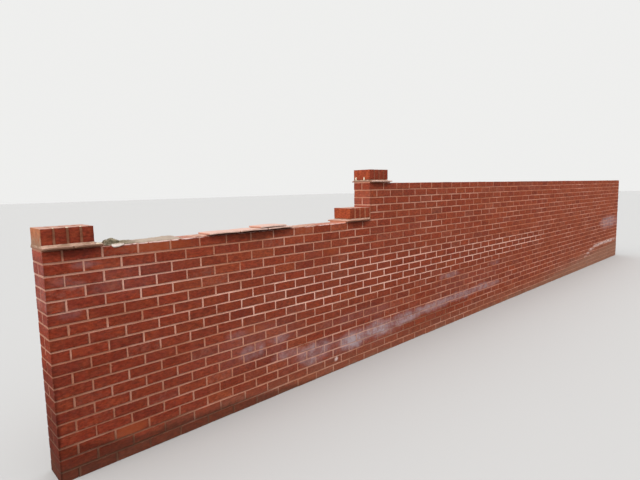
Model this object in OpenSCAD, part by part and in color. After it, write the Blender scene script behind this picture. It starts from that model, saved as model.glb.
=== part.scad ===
// Brick garden wall, one brick thick, with stopped ends and one step up.
// Its coping is only begun: three short blocks of brick on edge over creasing tiles.
// Origin: the middle of the wall's length and thickness, at the underside of its lowest course.
// X runs along the wall from the low end to the high end, and -Y is the front face.

/* [Bricks and joints] */
// Width of a brick, which is also the thickness of each half-brick leaf
brick_width = 102.5; // [98:0.5:107]
// Height of a brick as laid on its bed
brick_height = 65; // [50:1:75]
// Thickness of every bed, end and collar joint
joint = 10; // [8:0.5:12]

/* [Sections of the wall] */
// Whole stretchers in the length of the low section
low_stretchers = 13; // [12:1:20]
// Whole stretchers in the length of the high section
high_stretchers = 41; // [4:1:60]
// Courses in the low section
low_courses = 19; // [3:2:25]
// Courses by which the high section rises above the low one
raised_courses = 5; // [3:1:9]

/* [Creasing tiles] */
// Long side of a plain clay tile, laid across the wall under the coping
tile_length = 265; // [240:1:290]
// Short side of a tile
tile_width = 165; // [150:1:175]
// Thickness of a tile
tile_thickness = 12; // [8:0.5:16]
// Gap between two tiles in a row
tile_gap = 5; // [2:0.5:8]
// Tiles under each block of coping
tiles_per_block = 2; // [2:1:3]

/* [Coping blocks] */
// Bricks on edge in each block
coping_bricks = 4; // [2:1:4]
// Distance from the step back to the row of tiles at its foot
foot_tile_clearance = 30; // [0:1:60]

/* [Loose run of tiles] */
// Distance from the near end to the first tile of the run
run_start = 1075; // [1050:5:1150]
// Tiles laid lengthwise in the run
run_tile_count = 3; // [2:1:4]
// Distance from the start of the run to the single tile of the second layer
upper_tile_offset = 465; // [60:5:500]
// Length of mortar spread ahead of the run
run_bed_lead = 105; // [20:5:110]
// Length of mortar spread beyond the run
run_bed_tail = 320; // [0:5:350]

/* [Mortar left on top] */
// Distance from the near end to the spread mortar
spread_start = 345; // [345:5:380]
// Length of the spread mortar
spread_length = 545; // [400:5:560]
// Thickness of the spread mortar
spread_thickness = 9; // [5:0.5:15]
// Waviness of the back edges of spread mortar
spread_wave = 14; // [0:1:25]
// Height of the heap of mortar on the spread
heap_height = 26; // [10:1:50]
// Radius of the heap at its foot
heap_radius = 52; // [30:1:60]
// Length of the mortar that droops over the front edge
droop_length = 92; // [50:1:120]
// Drop of that mortar below the wall's top
droop_drop = 19; // [8:1:30]
// Thickness of that mortar on the wall's face
droop_thickness = 7; // [3:0.5:12]

/* [Hidden] */
brick_length = 2 * brick_width + joint;
stretcher_module = brick_length + joint;
header_module = brick_width + joint;
course_module = brick_height + joint;
wall_thickness = brick_length;
wall_length = (low_stretchers + high_stretchers) * stretcher_module - joint;
low_length = low_stretchers * stretcher_module;
high_courses = low_courses + raised_courses;
low_top = low_courses * course_module - joint;
high_top = high_courses * course_module - joint;
near_x = -wall_length / 2;
step_x = near_x + low_length;
far_x = wall_length / 2;
front_y = -wall_thickness / 2;
tile_front_y = -tile_length / 2;
tile_row = tiles_per_block * (tile_width + tile_gap) - tile_gap;
block_length = coping_bricks * (brick_height + joint) - joint;
foot_tile_x = step_x - foot_tile_clearance - tile_row;
foot_block_x = step_x - joint - block_length;
run_x = near_x + run_start;
run_length = run_tile_count * (tile_length + tile_gap) - tile_gap;
run_back_y = tile_front_y + tile_width;
upper_tile_x = run_x + upper_tile_offset;
spread_x = near_x + spread_start;
spread_back_y = wall_thickness / 2 - spread_wave - joint;
droop_x = spread_x + droop_length / 2;
heap_x = spread_x + 1.5 * heap_radius;

// A course starts with a header at each stopped end when its number from the ground is even.
function course_z(course) = course * course_module;

// Outline of a section that lies flat on X and is raised to stand on its edge.
module stand_on_edge(back_y, thickness) {
    translate([0, back_y, 0])
        rotate([90, 0, 0])
            linear_extrude(height = thickness)
                children();
}

// One rectangle for each header course between two courses.
module header_slots(x, length, first, last) {
    for (course = [first : last])
        if (course % 2 == 0)
            translate([x, course_z(course)])
                square([length, brick_height]);
}

// The low section: slots for the tie bricks at its near end, teeth into the high section.
module low_outline() {
    difference() {
        translate([near_x, 0])
            square([low_length, low_top]);
        header_slots(near_x, brick_width, 0, low_courses - 1);
    }
    header_slots(step_x, header_module, 0, low_courses - 1);
}

// The high section: recesses for those teeth, slots for ties above the step and at the far end.
module high_outline() {
    difference() {
        translate([step_x, 0])
            square([far_x - step_x, high_top]);
        header_slots(step_x, header_module, 0, low_courses - 1);
        header_slots(step_x, brick_width, low_courses, high_courses - 1);
        header_slots(far_x - brick_width, brick_width, 0, high_courses - 1);
    }
}

// Bricks laid across the whole thickness, one in each header course.
module tie_bricks(x, first, last) {
    color("indianred")
        stand_on_edge(wall_thickness / 2, wall_thickness)
            header_slots(x, brick_width, first, last);
}

module low_front_leaf() {
    color("firebrick")
        stand_on_edge(-joint / 2, brick_width)
            low_outline();
}

module low_back_leaf() {
    color("firebrick")
        stand_on_edge(wall_thickness / 2, brick_width)
            low_outline();
}

module low_collar_joint() {
    color("tan")
        stand_on_edge(joint / 2, joint)
            low_outline();
}

module high_front_leaf() {
    color("brown")
        stand_on_edge(-joint / 2, brick_width)
            high_outline();
}

module high_back_leaf() {
    color("brown")
        stand_on_edge(wall_thickness / 2, brick_width)
            high_outline();
}

module high_collar_joint() {
    color("tan")
        stand_on_edge(joint / 2, joint)
            high_outline();
}

module near_end_ties() {
    tie_bricks(near_x, 0, low_courses - 1);
}

module step_end_ties() {
    tie_bricks(step_x, low_courses, high_courses - 1);
}

module far_end_ties() {
    tie_bricks(far_x - brick_width, 0, high_courses - 1);
}

// Mortar as wide as the wall under a row of tiles.
module tile_bed(x, z) {
    color("tan")
        translate([x, front_y, z])
            cube([tile_row, wall_thickness, joint]);
}

// A row of tiles laid across the wall, proud of both faces.
module crossing_tiles(x, z) {
    color("rosybrown")
        for (i = [0 : tiles_per_block - 1])
            translate([x + i * (tile_width + tile_gap), tile_front_y, z + joint])
                cube([tile_width, tile_length, tile_thickness]);
}

// Mortar between the tiles and the bricks on edge.
module coping_bed(x, z) {
    color("wheat")
        translate([x, front_y, z + joint + tile_thickness])
            cube([block_length, wall_thickness, joint]);
}

// Bricks on edge, whose length is the thickness of the wall.
module coping_block(x, z) {
    color("orangered")
        for (i = [0 : coping_bricks - 1])
            translate([x + i * (brick_height + joint), front_y, z + 2 * joint + tile_thickness])
                cube([brick_height, brick_length, brick_width]);
}

// Mortar in the upright joints of a block, from the joint numbered first to the one numbered last.
module coping_joints(x, z, last) {
    color("wheat")
        for (i = [1 : last])
            translate([x + i * (brick_height + joint) - joint, front_y, z + 2 * joint + tile_thickness])
                cube([joint, brick_length, brick_width]);
}

module near_tile_bed() {
    tile_bed(near_x, low_top);
}

module near_tiles() {
    crossing_tiles(near_x, low_top);
}

module near_coping_bed() {
    coping_bed(near_x, low_top);
}

module near_coping_bricks() {
    coping_block(near_x, low_top);
}

module near_coping_joints() {
    coping_joints(near_x, low_top, coping_bricks - 1);
}

module foot_tile_bed() {
    tile_bed(foot_tile_x, low_top);
}

module foot_tiles() {
    crossing_tiles(foot_tile_x, low_top);
}

module foot_coping_bed() {
    coping_bed(foot_block_x, low_top);
}

module foot_coping_bricks() {
    coping_block(foot_block_x, low_top);
}

module foot_coping_joints() {
    coping_joints(foot_block_x, low_top, coping_bricks);
}

module head_tile_bed() {
    tile_bed(step_x, high_top);
}

module head_tiles() {
    crossing_tiles(step_x, high_top);
}

module head_coping_bed() {
    coping_bed(step_x, high_top);
}

module head_coping_bricks() {
    coping_block(step_x, high_top);
}

module head_coping_joints() {
    coping_joints(step_x, high_top, coping_bricks - 1);
}

// Mortar spread on the wall's top, straight along the front and wavy along the back.
module spread_outline(x, length, back_y) {
    steps = 12;
    back = [
        for (i = [steps : -1 : 0])
            [x + i * length / steps, back_y + spread_wave * sin(i * 137)]
    ];
    polygon(concat([[x, front_y], [x + length, front_y]], back));
}

module run_bed() {
    color("tan")
        translate([0, 0, low_top])
            linear_extrude(height = joint)
                spread_outline(run_x - run_bed_lead, run_bed_lead + run_length + run_bed_tail, run_back_y);
}

module run_tiles() {
    color("rosybrown")
        for (i = [0 : run_tile_count - 1])
            translate([run_x + i * (tile_length + tile_gap), tile_front_y, low_top + joint])
                cube([tile_length, tile_width, tile_thickness]);
}

module upper_tile_bed() {
    color("tan")
        translate([upper_tile_x, front_y, low_top + joint + tile_thickness])
            cube([tile_length, run_back_y - front_y, joint / 2]);
}

module upper_tile() {
    color("rosybrown")
        translate([upper_tile_x, tile_front_y, low_top + 1.5 * joint + tile_thickness])
            cube([tile_length, tile_width, tile_thickness]);
}

module spread_mortar() {
    color("tan")
        translate([0, 0, low_top])
            linear_extrude(height = spread_thickness)
                spread_outline(spread_x, spread_length, spread_back_y);
}

// A low mound with a flattened top.
module mortar_heap() {
    color("darkkhaki")
        translate([heap_x, 0, low_top + spread_thickness])
            cylinder(h = heap_height, r1 = heap_radius, r2 = heap_radius / 3, $fn = 36);
}

// A tongue of mortar on the front face, level with the top of the spread.
module drooping_mortar() {
    steps = 8;
    lower_edge = [
        for (i = [0 : steps])
            [droop_x + i * droop_length / steps, low_top - droop_drop * sin(i * 180 / steps)]
    ];
    color("wheat")
        stand_on_edge(front_y, droop_thickness)
            polygon(concat(lower_edge, [
                [droop_x + droop_length, low_top + spread_thickness],
                [droop_x, low_top + spread_thickness]
            ]));
}

low_front_leaf();
low_back_leaf();
low_collar_joint();
high_front_leaf();
high_back_leaf();
high_collar_joint();
near_end_ties();
step_end_ties();
far_end_ties();
near_tile_bed();
near_tiles();
near_coping_bed();
near_coping_bricks();
near_coping_joints();
foot_tile_bed();
foot_tiles();
foot_coping_bed();
foot_coping_bricks();
foot_coping_joints();
head_tile_bed();
head_tiles();
head_coping_bed();
head_coping_bricks();
head_coping_joints();
run_bed();
run_tiles();
upper_tile_bed();
upper_tile();
spread_mortar();
mortar_heap();
drooping_mortar();
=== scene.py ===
"""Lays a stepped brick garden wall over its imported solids, brick by brick.

Each leaf becomes real stretchers and pointed joints, the stopped ends get their tie bricks, and the
coping blocks, creasing tiles and left-over mortar are modelled over the solids that carry them.
"""

import math
from types import SimpleNamespace

import bpy
import numpy as np
from bpy.props import FloatProperty, FloatVectorProperty, IntProperty, PointerProperty
from bpy.types import Operator, Panel, PropertyGroup
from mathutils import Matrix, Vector
from mathutils.noise import noise_vector, seed_set


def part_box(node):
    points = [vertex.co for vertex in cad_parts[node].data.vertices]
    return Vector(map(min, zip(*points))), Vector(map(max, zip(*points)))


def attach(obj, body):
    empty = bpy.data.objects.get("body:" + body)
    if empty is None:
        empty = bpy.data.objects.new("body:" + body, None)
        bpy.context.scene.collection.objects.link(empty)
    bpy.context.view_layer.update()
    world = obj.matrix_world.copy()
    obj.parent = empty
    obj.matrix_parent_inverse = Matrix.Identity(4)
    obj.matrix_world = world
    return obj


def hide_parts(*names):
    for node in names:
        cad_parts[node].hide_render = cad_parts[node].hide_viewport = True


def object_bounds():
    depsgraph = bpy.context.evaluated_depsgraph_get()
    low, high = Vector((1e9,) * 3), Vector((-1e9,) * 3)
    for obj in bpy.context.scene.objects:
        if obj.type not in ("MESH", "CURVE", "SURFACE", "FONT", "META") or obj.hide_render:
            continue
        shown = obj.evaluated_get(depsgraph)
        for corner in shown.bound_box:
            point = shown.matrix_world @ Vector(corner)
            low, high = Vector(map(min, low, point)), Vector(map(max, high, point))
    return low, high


bl_info = {
    "name": "Brick Garden Wall",
    "version": (1, 0, 0),
    "blender": (4, 5, 0),
    "location": "3D View > Sidebar > Garden Wall",
    "description": "Lays the bricks, joints, creasing tiles and coping of a stepped garden wall",
    "category": "Add Mesh",
}

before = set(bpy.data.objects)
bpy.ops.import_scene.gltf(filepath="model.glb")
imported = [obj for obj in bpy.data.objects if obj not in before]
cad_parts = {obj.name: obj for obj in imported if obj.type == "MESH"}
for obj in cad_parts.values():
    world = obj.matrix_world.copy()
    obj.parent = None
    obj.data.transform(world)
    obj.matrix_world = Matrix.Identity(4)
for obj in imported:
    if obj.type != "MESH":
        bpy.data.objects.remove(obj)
CAD_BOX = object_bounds()
X, Y, Z = 0, 1, 2
# Distances under which two places are the same, and over which they are apart, in metres.
SAME_PLACE = 1e-5
CLEAR = 1e-4

# Lime that has bloomed out of the brickwork: middle (x, z), half length, half height, strength.
LIME_BLOOMS = (
    (-4.78, 0.61, 0.14, 0.05, 0.26),
    (-4.64, 0.45, 0.16, 0.09, 0.50),
    (-4.35, 0.485, 0.15, 0.045, 0.42),
    (-4.27, 0.33, 0.18, 0.06, 0.42),
    (-3.93, 0.26, 0.28, 0.12, 0.72),
    (-3.42, 0.250, 0.29, 0.125, 1.00),
    (-3.00, 0.270, 0.32, 0.105, 1.00),
    (-2.58, 0.285, 0.36, 0.078, 0.82),
    (-2.02, 0.300, 0.50, 0.070, 0.68),
    (-1.35, 0.325, 0.46, 0.065, 0.88),
    (-0.70, 0.340, 0.55, 0.060, 0.68),
    (-1.62, 0.63, 0.26, 0.045, 0.45),
    (-0.40, 0.63, 0.20, 0.045, 0.30),
    (-1.00, 0.50, 1.00, 0.16, 0.06),
    (-3.25, 0.47, 0.65, 0.08, 0.12),
    (-3.45, 0.25, 0.95, 0.14, 0.22),
    (-4.60, 0.50, 0.60, 0.22, 0.08),
    (5.42, 0.84, 0.75, 0.18, 0.66),
    (-5.84, 1.315, 0.10, 0.030, 0.20),
    (-5.99, 1.235, 0.08, 0.034, 0.18),
    (-5.90, 1.200, 0.10, 0.030, 0.18),
    (-5.95, 1.030, 0.08, 0.034, 0.18),
    (-5.62, 1.20, 0.35, 0.12, 0.06),
    (-6.07, 1.24, 0.006, 0.30, 0.17),
    (-3.145, 1.56, 0.006, 0.22, 0.06),
)
# Crusts of salts above the soil, a splash of mortar, and mortar smeared on the top edge, given the same way.
PALE_CRUSTS = (
    (5.25, 0.410, 0.95, 0.040, 1.00),
    (4.50, 0.392, 0.30, 0.036, 0.95),
    (4.15, 0.345, 0.20, 0.034, 0.85),
    (3.95, 0.285, 0.14, 0.030, 0.75),
    (3.80, 0.232, 0.12, 0.024, 0.55),
    (-3.67, 0.12, 0.03, 0.03, 1.00),
    (-5.35, 1.414, 0.42, 0.007, 0.95),
    (-4.60, 1.415, 0.55, 0.004, 0.40),
    (-3.85, 1.415, 0.42, 0.005, 0.75),
)
# Joints that have dried paler than the rest, given the same way.
PALE_JOINTS = (
    (-3.1, 0.86, 2.6, 0.26, 1.00),
    (-0.6, 0.86, 2.7, 0.17, 0.85),
    (-5.7, 1.18, 0.8, 0.22, 0.42),
    (-4.6, 0.88, 0.7, 0.22, 0.30),
    (-3.5, 0.28, 0.9, 0.14, 0.35),
)
# Joints darkened with dirt, and the joint under the near tile darkened as painted shadow, given the same way.
DIRTY_AND_SHADED_JOINTS = (
    (-5.75, 0.30, 0.75, 0.42, 0.26),
    (-5.86, 1.385, 0.19, 0.045, 0.46),
    (-2.40, 0.21, 1.50, 0.13, 0.65),
    (-5.70, 0.07, 0.75, 0.15, 0.95),
    (-4.90, 0.03, 0.60, 0.10, 0.95),
)
# Painted shadow on the bricks under the tiles, and bricks of the top course with a brighter face, given the
# same way.
SHADED_BRICKS = (
    (-5.90, 1.400, 0.17, 0.034, 0.50),
    (-4.59, 1.395, 0.40, 0.050, 0.75),
    (-3.34, 1.395, 0.17, 0.040, 0.55),
    (-2.97, 1.772, 0.16, 0.035, 0.50),
)
BRIGHT_BRICKS = (
    (-5.38, 1.385, 0.30, 0.050, 0.90),
    (-4.05, 1.385, 0.16, 0.040, 0.60),
    (-3.70, 1.170, 0.14, 0.035, 0.70),
    (-4.60, 0.625, 0.13, 0.035, 0.85),
    (-5.625, 0.185, 0.14, 0.045, 1.00),
)
# Heights up to which the front is darker along its foot, as painted contact shadow and damp, and up to which
# soil has stood against it. Each has its place along the wall, from 0 to 1.
DARK_FOOT_LINE = (
    (0.0, 0.24), (0.02, 0.18), (0.035, 0.12), (0.06, 0.11), (0.10, 0.09), (0.14, 0.05), (0.20, 0.0),
    (1.0, 0.0))
SOIL_LINE = ((0.0, 0.0), (0.03, 0.0), (0.06, 0.01), (0.45, 0.03), (0.68, 0.12), (0.82, 0.23), (1.0, 0.37))

# Each surface's unevenness, as its depth and grain in metres, and the angle up to which it is shaded smooth.
SURFACES = {
    "brick": (0.0018, 0.035, 35),
    "coping_brick": (0.0022, 0.030, 35),
    "tile": (0.0022, 0.050, 40),
    "pointing": (0.0016, 0.022, 55),
    "collar": (0.0016, 0.030, 0),
    "bed": (0.0035, 0.016, 50),
    "coping_joint": (0.0025, 0.012, 50),
    "layer": (0.0030, 0.010, 60),
    "tongue": (0.0020, 0.012, 60),
    "dab": (0.0040, 0.010, 60),
    "heap": (0.0160, 0.026, 60),
    "crumbly": (0.0060, 0.008, 60),
}
# The darker and the lighter colour of each mortar that isn't the leaves' or the coping beds'.
MORTARS = {
    "near_coping_joint": ((0.235, 0.088, 0.048), (0.310, 0.132, 0.075)),
    "foot_coping_joint": ((0.470, 0.175, 0.092), (0.600, 0.240, 0.130)),
    "head_coping_joint": ((0.270, 0.085, 0.045), (0.340, 0.120, 0.070)),
    "dried_splash": ((0.740, 0.620, 0.450), (0.880, 0.780, 0.600)),
    "bedding_mortar": ((0.400, 0.215, 0.155), (0.520, 0.300, 0.225)),
    "drooping_mortar": ((0.780, 0.630, 0.550), (0.900, 0.790, 0.720)),
    "spread_mortar": ((0.120, 0.095, 0.058), (0.300, 0.235, 0.160)),
    "heaped_mortar": ((0.105, 0.085, 0.050), (0.300, 0.250, 0.165)),
}
# Between these places along the wall, the spread mortar turns from damp to dry.
DRIED_FROM = (-5.52, -5.40)
COLOUR = {"subtype": "COLOR", "min": 0, "max": 1}


class WallBrickwork(PropertyGroup):
    """Sizes of the bricks and joints, and how truly they are laid."""

    brick_length: FloatProperty(
        name="Brick length", description="Length of a stretcher", default=0.215, min=0.15, unit="LENGTH")
    brick_width: FloatProperty(
        name="Brick width", description="Width of a header", default=0.1025, min=0.08, unit="LENGTH")
    brick_height: FloatProperty(
        name="Brick height", description="Height of a brick on its bed",
        default=0.065, min=0.04, unit="LENGTH")
    joint: FloatProperty(
        name="Joint", description="Thickness of bed and end joints", default=0.010, min=0.006, unit="LENGTH")
    tile_camber: FloatProperty(
        name="Tile camber", description="Rise of a creasing tile along its middle",
        default=0.0025, min=0.0, unit="LENGTH")
    tile_gap: FloatProperty(
        name="Tile gap", description="Gap between creasing tiles", default=0.005, min=0.001, unit="LENGTH")
    arris: FloatProperty(
        name="Arris", description="Width of the worn edge round each brick",
        default=0.0022, min=0.0005, unit="LENGTH")
    joint_lip: FloatProperty(
        name="Joint lip", description="Depth of the joint where it meets a brick",
        default=0.0010, unit="LENGTH")
    joint_hollow: FloatProperty(
        name="Joint hollow", description="Extra depth along the middle of a joint",
        default=0.0016, unit="LENGTH")
    end_recess: FloatProperty(
        name="End recess", description="Depth of the joints on the stopped ends",
        default=0.0020, unit="LENGTH")
    wander: FloatProperty(
        name="Wander", description="How far a brick lies out of line", default=0.0008, min=0.0, unit="LENGTH")
    tilt: FloatProperty(
        name="Tilt", description="How far a brick is turned out of true",
        default=math.radians(0.22), subtype="ANGLE")
    chip: FloatProperty(
        name="Chip", description="Deepest chip on a brick's corner", default=0.004, min=0.0, unit="LENGTH")
    seed: IntProperty(name="Seed", description="Picks another set of uneven bricks", default=19, min=0)


class WallFinish(PropertyGroup):
    """Colours of the clay, the mortar and what has settled on them."""

    brick_red: FloatVectorProperty(
        name="Brick red", description="Most of the bricks", default=(0.282, 0.040, 0.0170), **COLOUR)
    brick_dark: FloatVectorProperty(
        name="Dark brick", description="The hardest fired bricks", default=(0.203, 0.029, 0.018), **COLOUR)
    brick_orange: FloatVectorProperty(
        name="Orange brick", description="The softest fired bricks", default=(0.405, 0.084, 0.029), **COLOUR)
    coping_red: FloatVectorProperty(
        name="Coping red", description="Bricks of the coping", default=(0.265, 0.042, 0.020), **COLOUR)
    mortar: FloatVectorProperty(
        name="Mortar", description="Set mortar in the joints", default=(0.485, 0.198, 0.120), **COLOUR)
    red_mortar: FloatVectorProperty(
        name="Red mortar", description="Set mortar further along the wall",
        default=(0.490, 0.165, 0.090), **COLOUR)
    pale_mortar: FloatVectorProperty(
        name="Pale mortar", description="Mortar that has dried pale", default=(0.850, 0.500, 0.395), **COLOUR)
    fresh_mortar: FloatVectorProperty(
        name="Fresh mortar", description="Mortar of the coping, still damp",
        default=(0.330, 0.200, 0.130), **COLOUR)
    dried_mortar: FloatVectorProperty(
        name="Dried mortar", description="Mortar of the coping where it dries",
        default=(0.520, 0.330, 0.240), **COLOUR)
    # Dirt on the joints, also the colour of the painted shadow on the joint under the near tile.
    dirt_and_shade: FloatVectorProperty(
        name="Grime", description="Dirt washed over the joints", default=(0.205, 0.080, 0.045), **COLOUR)
    tile: FloatVectorProperty(
        name="Creasing tile", description="Clay of the creasing tiles",
        default=(0.600, 0.300, 0.215), **COLOUR)
    dust: FloatVectorProperty(
        name="Dust", description="Pale dust on top of tiles and coping",
        default=(0.555, 0.358, 0.280), **COLOUR)
    lime: FloatVectorProperty(
        name="Lime bloom", description="Lime on the face of the bricks",
        default=(0.545, 0.412, 0.430), **COLOUR)
    salts: FloatVectorProperty(
        name="Salts", description="Crust of salts and splashed mortar",
        default=(0.920, 0.690, 0.630), **COLOUR)
    soil: FloatVectorProperty(
        name="Soil", description="Earth left on the foot of the wall",
        default=(0.355, 0.190, 0.118), **COLOUR)


class WallStage(PropertyGroup):
    """Camera, lights and floor."""

    camera_place: FloatVectorProperty(
        name="Camera place", description="Where the camera stands", subtype="TRANSLATION",
        default=(-6.7442, -3.0927, 1.7468))
    camera_turn: FloatVectorProperty(
        name="Camera turn", description="Pitch, roll and heading of the camera", subtype="EULER",
        default=(math.radians(83.625), math.radians(1.179), math.radians(-44.182)))
    lens: FloatProperty(
        name="Lens", description="Focal length for a 36 mm sensor", default=26.00, min=10, unit="CAMERA")
    floor_colour: FloatVectorProperty(
        name="Floor colour", description="Colour of the floor", default=(0.465, 0.455, 0.44), **COLOUR)
    floor_glow: FloatVectorProperty(
        name="Floor glow", description="Colour of the light that the floor throws back",
        default=(0.17, 0.145, 0.125), **COLOUR)
    sky_strength: FloatProperty(
        name="Sky strength", description="Light from straight above", default=1.72, min=0)
    horizon_strength: FloatProperty(
        name="Horizon strength", description="Light from all round", default=0.13, min=0)
    sun_strength: FloatProperty(
        name="Sun strength", description="Light from the left", default=2.05, min=0)


# Places of the wall's parts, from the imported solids.

def wall_places(sizes):
    """Gives the lines of the wall in metres, and its counts of bricks and courses."""
    low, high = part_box("low_front_leaf"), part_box("high_front_leaf")
    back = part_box("low_back_leaf")
    module = sizes.brick_length + sizes.joint
    course = sizes.brick_height + sizes.joint
    near, step, far = low[0][X], high[0][X], high[1][X]
    return SimpleNamespace(
        near=near, step=step, far=far, low_top=low[1][Z], high_top=high[1][Z],
        module=module, course=course, half_module=sizes.brick_width + sizes.joint,
        leaves={"front": (low[0][Y], low[1][Y]), "back": (back[0][Y], back[1][Y])},
        low_columns=round((step - near) / module),
        high_columns=round((far - step + sizes.joint) / module),
        low_courses=round((low[1][Z] + sizes.joint) / course),
        high_courses=round((high[1][Z] + sizes.joint) / course),
    )


# Modelling, as by hand.

def corners_of(node):
    """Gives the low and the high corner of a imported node's box."""
    return (Vector(corner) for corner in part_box(node))


def select_only(*objects):
    """Selects these objects alone, the first of them active, in object mode."""
    if bpy.context.mode != "OBJECT":
        bpy.ops.object.mode_set(mode="OBJECT")
    bpy.ops.object.select_all(action="DESELECT")
    for item in objects:
        item.select_set(True)
    bpy.context.view_layer.objects.active = objects[0] if objects else None


def add_block(name, low, high):
    """Adds a block between two corners, with its place in its mesh."""
    select_only()
    low, high = Vector(low), Vector(high)
    bpy.ops.mesh.primitive_cube_add(size=1, location=(low + high) / 2)
    block = bpy.context.object
    block.scale = high - low
    block.name = block.data.name = name
    bpy.ops.object.transform_apply(location=True, rotation=True, scale=True)
    return block


def start_edit(piece, parts, chosen, mode):
    """Enters edit mode with only the chosen ones of a mesh's vertices or edges selected."""
    select_only(piece)
    mesh = piece.data
    for kind in (mesh.polygons, mesh.edges, mesh.vertices):
        kind.foreach_set("select", [False] * len(kind))
    parts.foreach_set("select", [chosen(part) for part in parts])
    bpy.context.tool_settings.mesh_select_mode = mode
    bpy.ops.object.mode_set(mode="EDIT")


def divide_along(piece, axis, cuts, where=lambda middle: True):
    """Cuts a piece across one axis, by dividing the edges that run along it."""
    mesh = piece.data

    def chosen(edge):
        start, end = (mesh.vertices[number].co for number in edge.vertices)
        way = end - start
        return abs(way[axis]) > 0.99 * way.length and where((start + end) / 2)

    if cuts > 0:
        start_edit(piece, mesh.edges, chosen, (False, True, False))
        bpy.ops.mesh.subdivide(number_cuts=cuts)
        bpy.ops.object.mode_set(mode="OBJECT")


def move_vertices(piece, chosen, way):
    """Moves the vertices that pass a test, in edit mode."""
    start_edit(piece, piece.data.vertices, lambda vertex: chosen(vertex.co), (True, False, False))
    bpy.ops.transform.translate(value=way)
    bpy.ops.object.mode_set(mode="OBJECT")


def apply_modifier(piece, kind, **settings):
    """Adds a modifier with its settings, and applies it."""
    select_only(piece)
    modifier = piece.modifiers.new(kind.title(), kind)
    for key, value in settings.items():
        setattr(modifier, key, value)
    bpy.ops.object.modifier_apply(modifier=modifier.name)


def wear_edges(piece, width, segments=1):
    """Rounds the sharp edges of a piece."""
    apply_modifier(
        piece, "BEVEL", width=width, segments=segments, limit_method="ANGLE", angle_limit=math.radians(50))


def repeat(piece, count, way):
    """Repeats a piece along a vector."""
    if count > 1:
        apply_modifier(
            piece, "ARRAY", count=count, use_relative_offset=False, use_constant_offset=True,
            constant_offset_displace=way)


def join(name, pieces):
    """Joins pieces into one mesh, in their order."""
    select_only(*pieces)
    if len(pieces) > 1:
        bpy.ops.object.join()
    whole = bpy.context.object
    whole.name = whole.data.name = name
    return whole


def roughen(piece, surface, basis="BLENDER_ORIGINAL"):
    """Pushes every vertex a little out of place, by a cloud pattern with the grain of the surface."""
    depth, grain, _ = SURFACES[surface]
    texture = bpy.data.textures.new(piece.name + "_unevenness", "CLOUDS")
    texture.cloud_type = "COLOR"
    texture.noise_scale = grain
    texture.noise_depth = 1
    texture.noise_basis = basis
    apply_modifier(
        piece, "DISPLACE", texture=texture, texture_coords="LOCAL", direction="RGB_TO_XYZ",
        strength=depth, mid_level=0.5)


def read_points(piece):
    """Gives the places of a piece's vertices, one to a row."""
    points = np.empty(len(piece.data.vertices) * 3)
    piece.data.vertices.foreach_get("co", points)
    return points.reshape(-1, 3)


def write_points(piece, points):
    """Writes the points back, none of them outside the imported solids' box."""
    low, high = np.array(CAD_BOX[0]), np.array(CAD_BOX[1])
    piece.data.vertices.foreach_set("co", np.clip(points, low, high).ravel())
    piece.data.update()


def note_points(piece, name, values):
    """Keeps a vector for every vertex, which materials read by its name."""
    piece.data.attributes.new(name, "FLOAT_VECTOR", "POINT").data.foreach_set("vector", np.ravel(values))


def settle_bricks(bricks, corners, sizes, seed):
    """Lays each brick a little out of line and chips some corners. corners is one brick's number of vertices.

    Its own random numbers go to the attribute brick_dice, the place on the brick to brick_place, from its
    middle, and half its size to brick_half.
    """
    chip_reach = 0.014
    dice = np.random.default_rng(sizes.seed * 1000 + seed)
    points = read_points(bricks).reshape(-1, corners, 3)
    count = len(points)
    middle = (points.min(axis=1, keepdims=True) + points.max(axis=1, keepdims=True)) / 2
    local = points - middle
    half = np.abs(local).max(axis=1, keepdims=True)
    note_points(bricks, "brick_dice", np.repeat(dice.random((count, 3)), corners, axis=0))
    note_points(bricks, "brick_place", local)
    note_points(bricks, "brick_half", np.broadcast_to(half, local.shape))
    corner = half * dice.choice((-1.0, 1.0), (count, 1, 3))
    away = np.linalg.norm(local - corner, axis=2, keepdims=True)
    nearness = np.clip(1 - away / chip_reach, 0, 1)
    depth = sizes.chip * dice.random((count, 1, 1)) ** 3
    local -= np.sign(corner) * nearness * depth
    turn = np.clip(dice.normal(0, sizes.tilt, (count, 1, 3)), -2 * sizes.tilt, 2 * sizes.tilt)
    local += np.cross(np.broadcast_to(turn, local.shape), local)
    shift = np.clip(dice.normal(0, sizes.wander, (count, 1, 3)), -2 * sizes.wander, 2 * sizes.wander)
    write_points(bricks, (middle + shift + local).reshape(-1, 3))


def mould_brick(name, low, high, arris, cuts=(5, 0, 0), segments=1):
    """Models one brick with a worn edge all round."""
    brick = add_block(name, low, high)
    for axis in (X, Y, Z):
        divide_along(brick, axis, cuts[axis])
    wear_edges(brick, arris, segments)
    return brick


def mortar_bar(name, low, high, hollow, along, face, across, cuts):
    """Models one bar of pointing: cut along its length, and hollowed along the middle of its face.

    face is -1 where the bar shows on the low Y side and 1 where it shows on the high one.
    """
    bar = add_block(name, low, high)
    divide_along(bar, along, cuts)
    face_y = low[Y] if face < 0 else high[Y]

    def on_face(place):
        return abs(place.y - face_y) < SAME_PLACE

    def inside_face(place):
        return on_face(place) and low[across] + CLEAR < place[across] < high[across] - CLEAR

    divide_along(bar, across, 2, on_face)
    move_vertices(bar, inside_face, (0, -face * hollow, 0))
    return bar


def shade_smooth(piece, surface):
    """Shades a piece smooth, as far as its kind of surface is."""
    angle = SURFACES[surface][2]
    if angle:
        select_only(piece)
        bpy.ops.object.shade_smooth_by_angle(angle=math.radians(angle))


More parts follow.
